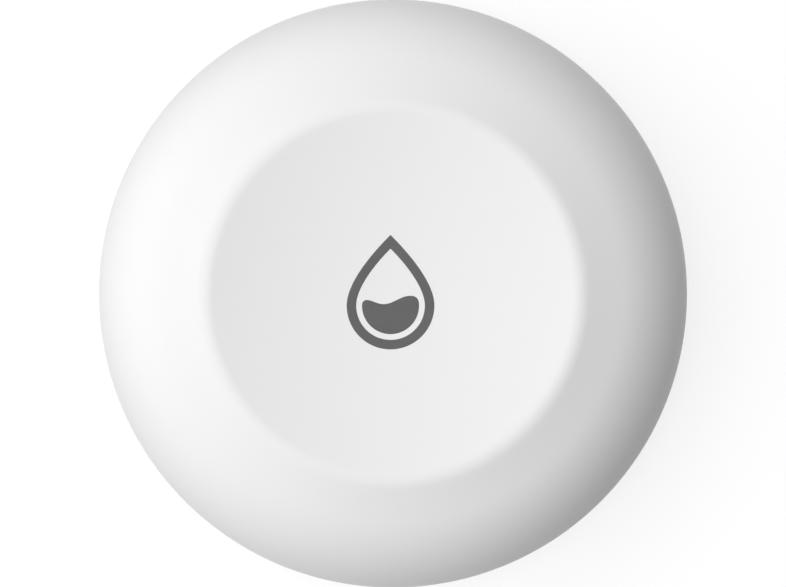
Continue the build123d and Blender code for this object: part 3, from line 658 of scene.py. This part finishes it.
class Finish:
    # A new material with its shader, and short ways to add and join nodes
    def __init__(self, name):
        self.material = bpy.data.materials.new(name)
        self.material.use_nodes = True
        self.tree = self.material.node_tree
        self.shader = self.tree.nodes["Principled BSDF"]
        self.place = self.add("ShaderNodeTexCoord").outputs["Object"]

    def add(self, kind, **settings):
        # A node with its settings
        node = self.tree.nodes.new(kind)
        for setting, value in settings.items():
            setattr(node, setting, value)
        return node

    def join(self, output, target):
        # A link from one node's output to another one's socket
        self.tree.links.new(output, target)

    def surface(self, colour, roughness, relief):
        # What varies over the surface, each to its own socket of the shader
        self.join(colour, self.shader.inputs["Base Color"])
        self.join(roughness, self.shader.inputs["Roughness"])
        self.join(relief, self.shader.inputs["Normal"])

    def fixed(self, **values):
        # Numbers of the shader that are the same all over. An underscore
        # stands for a space in the socket's name
        for label, value in values.items():
            self.shader.inputs[label.replace("_", " ")].default_value = value

    def noise(self, size, detail=broadDetail, stretch=None):
        # Soft random pattern whose spots are about one size across
        node = self.add("ShaderNodeTexNoise")
        node.inputs["Scale"].default_value = 1.0 / size
        node.inputs["Detail"].default_value = detail
        self.join(self.stretched(stretch) if stretch else self.place, node.inputs["Vector"])
        return node.outputs["Fac"]

    def stretched(self, stretch):
        # Coordinates multiplied by a factor along each axis
        node = self.add("ShaderNodeMapping")
        node.inputs["Scale"].default_value = stretch
        self.join(self.place, node.inputs["Vector"])
        return node.outputs["Vector"]

    def between(self, pattern, low, high):
        # Number that eases from low to high between the noise's two edges
        node = self.add("ShaderNodeMapRange", interpolation_type="SMOOTHSTEP")
        labels = ("From Min", "From Max", "To Min", "To Max")
        for label, value in zip(labels, (*noiseEdges, low, high)):
            node.inputs[label].default_value = value
        self.join(pattern, node.inputs["Value"])
        return node.outputs["Result"]

    def colours(self, pattern, first, second, edges=noiseEdges):
        # Colour that eases from the first to the second between the edges
        node = self.add("ShaderNodeValToRGB")
        ramp = node.color_ramp
        ramp.interpolation = "EASE"
        ramp.elements[0].position, ramp.elements[1].position = edges
        ramp.elements[0].color, ramp.elements[1].color = (*first, 1.0), (*second, 1.0)
        self.join(pattern, node.inputs["Fac"])
        return node.outputs["Color"]

    def bump(self, pattern, height, under=None):
        # Relief of a height in metres, on top of another one if there is one
        node = self.add("ShaderNodeBump")
        node.inputs["Strength"].default_value = 1.0
        node.inputs["Distance"].default_value = height
        self.join(pattern, node.inputs["Height"])
        if under is not None:
            self.join(under, node.inputs["Normal"])
        return node.outputs["Normal"]


def shades(colour, spread):
    # Two shades of a colour, spread apart evenly about it
    return [tuple(part * factor for part in colour) for factor in (1.0 - spread, 1.0 + spread)]


def moulded(name, settings):
    # Plastic, rubber, foam or ceramic: broad cloudy shading, patchy gloss,
    # and a fine grain over a gentle waviness
    finish = Finish(name)
    cloud = finish.noise(settings["cloud"])
    grain = finish.noise(settings["grain"], fineDetail)
    waves = finish.bump(finish.noise(settings["wave"]), settings["waveHeight"])
    finish.surface(
        finish.colours(cloud, *shades(settings["colour"], settings["spread"])),
        finish.between(cloud, *settings["roughness"]),
        finish.bump(grain, settings["grainHeight"], waves),
    )
    finish.fixed(Metallic=0.0, IOR=settings["ior"], Specular_IOR_Level=settings["specular"])
    return finish.material


def brushedMetal(name, settings):
    # Metal: cloudy shading, and streaks along one direction that drive gloss
    # and bump alike
    finish = Finish(name)
    streaks = finish.noise(settings["streak"], streakDetail, settings["stretch"])
    cloud = finish.noise(settings["cloud"])
    finish.surface(
        finish.colours(cloud, *shades(settings["colour"], settings["spread"])),
        finish.between(streaks, *settings["roughness"]),
        finish.bump(streaks, settings["streakHeight"]),
    )
    finish.fixed(Metallic=1.0)
    return finish.material


whiteSettings = {
    "colour": (0.885, 0.885, 0.885),
    "spread": 0.004,
    "cloud": 14 * mm,
    "roughness": (0.42, 0.46),
    "wave": 6 * mm,
    "waveHeight": 0.002 * mm,
    "grain": 0.7 * mm,
    "grainHeight": 0.0004 * mm,
    "ior": 1.46,
    "specular": 0.28,
}

mouldedSettings = {
    "plate_white": {"colour": (0.80, 0.80, 0.79), "roughness": (0.42, 0.5)},
    "base_white": {"colour": (0.86, 0.86, 0.86), "roughness": (0.5, 0.56), "grain": 0.16 * mm,
                   "grainHeight": 0.004 * mm, "spread": 0.008, "cloud": 9 * mm},
    "seal_rubber": {"colour": (0.022, 0.022, 0.024), "roughness": (0.55, 0.72)},
    "foam_black": {"colour": (0.018, 0.018, 0.02), "roughness": (0.85, 0.95), "grain": 0.25 * mm,
                   "grainHeight": 0.06 * mm},
    "tray_black": {"colour": (0.02, 0.02, 0.022), "roughness": (0.4, 0.5)},
    "gasket_plastic": {"colour": (0.05, 0.05, 0.055), "roughness": (0.4, 0.55)},
    "switch_black": {"colour": (0.016, 0.016, 0.018), "roughness": (0.32, 0.42)},
    "chip_black": {"colour": (0.02, 0.02, 0.022), "roughness": (0.55, 0.68), "grain": 0.08 * mm,
                   "grainHeight": 0.002 * mm},
    "light_lens": {"colour": (0.80, 0.78, 0.62), "roughness": (0.2, 0.3)},
    "capacitor_tan": {"colour": (0.36, 0.24, 0.14), "roughness": (0.35, 0.5)},
    "resistor_black": {"colour": (0.025, 0.025, 0.028), "roughness": (0.3, 0.45)},
}

mouldedDefaults = {
    "spread": 0.04,
    "cloud": 4 * mm,
    "wave": 2 * mm,
    "waveHeight": 0.002 * mm,
    "grain": 0.2 * mm,
    "grainHeight": 0.0015 * mm,
    "ior": 1.5,
    "specular": 0.5,
}

metalSettings = {
    "zinc_screw": {"colour": (0.52, 0.54, 0.58), "roughness": (0.28, 0.4)},
    "brass_socket": {"colour": (0.70, 0.52, 0.24), "roughness": (0.25, 0.38)},
    "spring_strip": {"colour": (0.66, 0.60, 0.44), "roughness": (0.2, 0.34)},
    "cell_steel": {"colour": (0.64, 0.64, 0.65), "roughness": (0.22, 0.36)},
    "switch_metal": {"colour": (0.6, 0.6, 0.61), "roughness": (0.25, 0.38)},
    "crystal_metal": {"colour": (0.62, 0.62, 0.63), "roughness": (0.3, 0.42)},
}

metalDefaults = {
    "spread": 0.05,
    "cloud": 3 * mm,
    "streak": 0.5 * mm,
    "stretch": (1.0, 12.0, 12.0),
    "streakHeight": 0.002 * mm,
}


inkSettings = {
    "dark": (0.074, 0.074, 0.074),
    "light": (0.084, 0.084, 0.084),
    "cloud": 1.5 * mm,
    "speckle": 0.12 * mm,
    "roughness": (0.42, 0.55),
    "speckleHeight": 0.0015 * mm,
    "ior": 1.45,
}


def printedInk():
    # Dark grey pad-printed ink: nearly even, a little matter than the dish
    finish = Finish("printedInk")
    speckle = finish.noise(inkSettings["speckle"], fineDetail)
    cloud = finish.noise(inkSettings["cloud"])
    finish.surface(
        finish.colours(cloud, inkSettings["dark"], inkSettings["light"]),
        finish.between(speckle, *inkSettings["roughness"]),
        finish.bump(speckle, inkSettings["speckleHeight"]),
    )
    finish.fixed(IOR=inkSettings["ior"])
    return finish.material


steelSettings = {
    "headRadius": 2.0 * mm,
    "ring": 0.05 * mm,
    "ringHeight": 0.0012 * mm,
    "dark": (0.55, 0.55, 0.54),
    "light": (0.62, 0.62, 0.61),
    "cloud": 0.8 * mm,
    "roughness": (0.22, 0.32),
}


def turnedSteel():
    # Stainless screw heads with fine rings round each head's own axis. The
    # two heads lie at equal distances along X, so the pattern reads the
    # size of X less that distance
    finish = Finish("turnedSteel")
    parts = finish.add("ShaderNodeSeparateXYZ")
    finish.join(finish.place, parts.inputs[0])
    folded = finish.add("ShaderNodeMath", operation="ABSOLUTE")
    finish.join(parts.outputs["X"], folded.inputs[0])
    again = finish.add("ShaderNodeCombineXYZ")
    finish.join(folded.outputs[0], again.inputs["X"])
    finish.join(parts.outputs["Y"], again.inputs["Y"])
    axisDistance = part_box("probe_screws")[1].x - steelSettings["headRadius"]
    centred = finish.add("ShaderNodeMapping")
    centred.inputs["Location"].default_value = (-axisDistance, 0.0, 0.0)
    finish.join(again.outputs[0], centred.inputs["Vector"])
    length = finish.add("ShaderNodeVectorMath", operation="LENGTH")
    finish.join(centred.outputs[0], length.inputs[0])
    rings = finish.add("ShaderNodeMath", operation="PINGPONG")
    rings.inputs[1].default_value = steelSettings["ring"]
    finish.join(length.outputs["Value"], rings.inputs[0])
    groove = finish.add("ShaderNodeMath", operation="DIVIDE")
    groove.inputs[1].default_value = steelSettings["ring"]
    finish.join(rings.outputs[0], groove.inputs[0])
    cloud = finish.noise(steelSettings["cloud"])
    finish.surface(
        finish.colours(cloud, steelSettings["dark"], steelSettings["light"]),
        finish.between(cloud, *steelSettings["roughness"]),
        finish.bump(groove.outputs[0], steelSettings["ringHeight"]),
    )
    finish.fixed(Metallic=1.0)
    return finish.material


lacquerSettings = {
    "track": (0.022, 0.140, 0.058),
    "field": (0.011, 0.090, 0.036),
    "pitch": 2.6 * mm,  # between the scattered points
    "trackEdges": (0.07, 0.10),
    "trackHeight": 0.02 * mm,
    "weave": 0.3 * mm,
    "weaveHeight": 0.002 * mm,
    "roughness": (0.28, 0.42),
    "ior": 1.52,
}


def boardLacquer():
    # Green lacquer over copper. A track runs where two of many scattered
    # points are about equally far off. Each distance is the larger of the
    # steps along X and Y, so the tracks are straight and turn by 45 degrees
    finish = Finish("boardLacquer")
    gap = finish.add("ShaderNodeMath", operation="SUBTRACT")
    for socket, feature in enumerate(("F2", "F1")):
        points = finish.add("ShaderNodeTexVoronoi", voronoi_dimensions="2D", feature=feature,
                            distance="CHEBYCHEV")
        points.inputs["Scale"].default_value = 1.0 / lacquerSettings["pitch"]
        finish.join(finish.place, points.inputs["Vector"])
        finish.join(points.outputs["Distance"], gap.inputs[socket])
    edges = lacquerSettings["trackEdges"]
    weave = finish.noise(lacquerSettings["weave"], fineDetail)
    low = finish.bump(weave, lacquerSettings["weaveHeight"])
    raised = finish.colours(gap.outputs[0], (1.0,) * 3, (0.0,) * 3, edges)
    finish.surface(
        finish.colours(gap.outputs[0], lacquerSettings["track"], lacquerSettings["field"], edges),
        finish.between(weave, *lacquerSettings["roughness"]),
        finish.bump(raised, lacquerSettings["trackHeight"], low),
    )
    finish.fixed(IOR=lacquerSettings["ior"])
    return finish.material


pipeSettings = {
    "dark": (0.93, 0.95, 0.96),
    "light": (0.97, 0.98, 0.98),
    "flow": 1.2 * mm,
    "flowHeight": 0.003 * mm,
    "roughness": (0.04, 0.09),
    "ior": 1.49,
}


def clearPipe():
    # Clear acrylic with faint flow marks
    finish = Finish("clearPipe")
    flow = finish.noise(pipeSettings["flow"])
    finish.surface(
        finish.colours(flow, pipeSettings["dark"], pipeSettings["light"]),
        finish.between(flow, *pipeSettings["roughness"]),
        finish.bump(flow, pipeSettings["flowHeight"]),
    )
    finish.fixed(Transmission_Weight=1.0, IOR=pipeSettings["ior"])
    return finish.material


finishes = {slot: moulded(slot, {**mouldedDefaults, **own}) for slot, own in mouldedSettings.items()}
finishes.update(
    {slot: brushedMetal(slot, {**metalDefaults, **own}) for slot, own in metalSettings.items()}
)
finishes["shell_white"] = moulded("shell_white", whiteSettings)
finishes["dish_white"] = finishes["shell_white"]
finishes["steel"] = turnedSteel()
finishes["board_green"] = boardLacquer()
finishes["pipe_clear"] = clearPipe()
ink = printedInk()


def dress(piece, material):
    # The piece's one material, in its first slot
    if piece.material_slots:
        piece.material_slots[0].material = material
    else:
        piece.data.materials.append(material)


for subpart in frame["record"]["subparts"]:
    dress(frame["nodes"][subpart["node"]], finishes[subpart["material_slot"]])
for piece in (shellPiece, ribPiece, bossPiece, floorPiece, rimPiece):
    dress(piece, finishes["shell_white"])
for piece in (bandPiece, waterPiece):
    dress(piece, ink)
dress(arrowPiece, finishes["base_white"])
dress(domePiece, finishes["switch_metal"])
print("finishes made:", len(finishes) + 1)


# The stage: a pale ground whose shadow stays, lamps and the camera

stageSettings = {
    "groundReach": 2.5,
    "groundGlow": 0.72,  # of the white that the camera sees
    "groundColour": 0.34,
    "surround": 0.172,  # light from the sides and from above, beside the lamps
    "fromBelow": 1.0,  # light that the ground throws back up
    "belowEdges": (-0.9, -0.4),  # height of the direction where one gives way to the other
}

lampSettings = {
    "keyPanel": {"azimuth": 190.0, "elevation": 40.0, "distance": 1.1, "size": 1.8, "power": 14.0},
    "topPanel": {"azimuth": 160.0, "elevation": 90.0, "distance": 1.1, "size": 0.5, "power": 2.75},
    "sidePanel": {"azimuth": 100.0, "elevation": 25.0, "distance": 1.1, "size": 1.2, "power": 4.5,
                  "mirrored": False},  # it would glare in the dish seen from across
}

cameraSettings = {
    "frameWidth": 66.84 * mm,  # across the picture, at the waist's height
    "lens": 400.0,
    "sensor": 36.0,
    "clipFactor": 100.0,
}


def seenRays(tree):
    # 1 for rays from the camera and for reflected and refracted ones, else 0
    path = tree.nodes.new("ShaderNodeLightPath")
    total = path.outputs["Is Camera Ray"]
    for label in ("Is Glossy Ray", "Is Transmission Ray"):
        both = tree.nodes.new("ShaderNodeMath")
        both.operation = "MAXIMUM"
        tree.links.new(total, both.inputs[0])
        tree.links.new(path.outputs[label], both.inputs[1])
        total = both.outputs[0]
    return total


def makeWorld():
    # White where it is seen. For the rest it is a dim surround, brighter from
    # straight below, as over a pale ground. A world's Generated coordinates
    # are the direction that is looked in
    world = bpy.data.worlds.new("surround")
    world.use_nodes = True
    tree = world.node_tree
    background = tree.nodes["Background"]
    direction = tree.nodes.new("ShaderNodeTexCoord")
    parts = tree.nodes.new("ShaderNodeSeparateXYZ")
    tree.links.new(direction.outputs["Generated"], parts.inputs[0])
    dim = tree.nodes.new("ShaderNodeMapRange")
    dim.interpolation_type = "SMOOTHSTEP"
    levels = (*stageSettings["belowEdges"], stageSettings["fromBelow"], stageSettings["surround"])
    for label, level in zip(("From Min", "From Max", "To Min", "To Max"), levels):
        dim.inputs[label].default_value = level
    tree.links.new(parts.outputs["Z"], dim.inputs["Value"])
    strength = tree.nodes.new("ShaderNodeMapRange")
    tree.links.new(dim.outputs["Result"], strength.inputs["To Min"])
    strength.inputs["To Max"].default_value = 1.0
    tree.links.new(seenRays(tree), strength.inputs["Value"])
    tree.links.new(strength.outputs["Result"], background.inputs["Strength"])
    background.inputs["Color"].default_value = (1.0, 1.0, 1.0, 1.0)
    bpy.context.scene.world = world


def makeGround():
    # A wide square at the height of the feet. Seen from above it is white
    # less the shadow, and from below it isn't there. It throws no light on
    # the object, because the world already gives the light from below
    reach = stageSettings["groundReach"]
    low = cadBox[0].z
    signs = ((-1.0, -1.0), (1.0, -1.0), (1.0, 1.0), (-1.0, 1.0))
    corners = [(x * reach, y * reach, low) for x, y in signs]
    mesh = bpy.data.meshes.new("ground")
    mesh.from_pydata(corners, [], [(0, 1, 2, 3)])
    ground = bpy.data.objects.new("ground", mesh)
    bpy.context.scene.collection.objects.link(ground)
    material = bpy.data.materials.new("paleGround")
    material.use_nodes = True
    tree = material.node_tree
    tree.nodes.remove(tree.nodes["Principled BSDF"])
    matt = tree.nodes.new("ShaderNodeBsdfDiffuse")
    matt.inputs["Color"].default_value = (*(stageSettings["groundColour"],) * 3, 1.0)
    glow = tree.nodes.new("ShaderNodeEmission")
    glowStrength = tree.nodes.new("ShaderNodeMath")
    glowStrength.operation = "MULTIPLY"
    glowStrength.inputs[1].default_value = stageSettings["groundGlow"]
    tree.links.new(seenRays(tree), glowStrength.inputs[0])
    tree.links.new(glowStrength.outputs[0], glow.inputs["Strength"])
    both = tree.nodes.new("ShaderNodeAddShader")
    tree.links.new(matt.outputs[0], both.inputs[0])
    tree.links.new(glow.outputs[0], both.inputs[1])
    clear = tree.nodes.new("ShaderNodeBsdfTransparent")
    side = tree.nodes.new("ShaderNodeNewGeometry")
    choose = tree.nodes.new("ShaderNodeMixShader")
    tree.links.new(side.outputs["Backfacing"], choose.inputs["Fac"])
    tree.links.new(both.outputs[0], choose.inputs[1])
    tree.links.new(clear.outputs[0], choose.inputs[2])
    tree.links.new(choose.outputs[0], tree.nodes["Material Output"].inputs["Surface"])
    mesh.materials.append(material)
    ground.visible_diffuse = False


def makeLamp(name, settings):
    # A square panel that faces the object from an azimuth and an elevation
    data = bpy.data.lights.new(name, "AREA")
    data.shape = "SQUARE"
    data.size = settings["size"]
    data.energy = settings["power"]
    lamp = bpy.data.objects.new(name, data)
    azimuth, elevation = np.radians(settings["azimuth"]), np.radians(settings["elevation"])
    direction = Vector(
        (
            np.cos(azimuth) * np.cos(elevation),
            np.sin(azimuth) * np.cos(elevation),
            np.sin(elevation),
        )
    )
    lamp.location = direction * settings["distance"]
    lamp.rotation_euler = direction.to_track_quat("Z", "Y").to_euler()
    lamp.visible_camera = False
    lamp.visible_glossy = settings.get("mirrored", True)
    bpy.context.scene.collection.objects.link(lamp)


def makeCamera():
    # Straight above the middle, so far up that the waist fills the picture
    data = bpy.data.cameras.new("topCamera")
    data.lens = cameraSettings["lens"]
    data.sensor_width = cameraSettings["sensor"]
    distance = cameraSettings["frameWidth"] * data.lens / data.sensor_width
    data.clip_start = distance / cameraSettings["clipFactor"]
    data.clip_end = distance * cameraSettings["clipFactor"]
    camera = bpy.data.objects.new("topCamera", data)
    camera.location = (0.0, 0.0, waistHeight + distance)
    bpy.context.scene.collection.objects.link(camera)
    bpy.context.scene.camera = camera


makeWorld()
makeGround()
for lampName, lampOwn in lampSettings.items():
    makeLamp(lampName, lampOwn)
makeCamera()
bpy.context.scene.view_settings.view_transform = "Standard"
print("stage made")
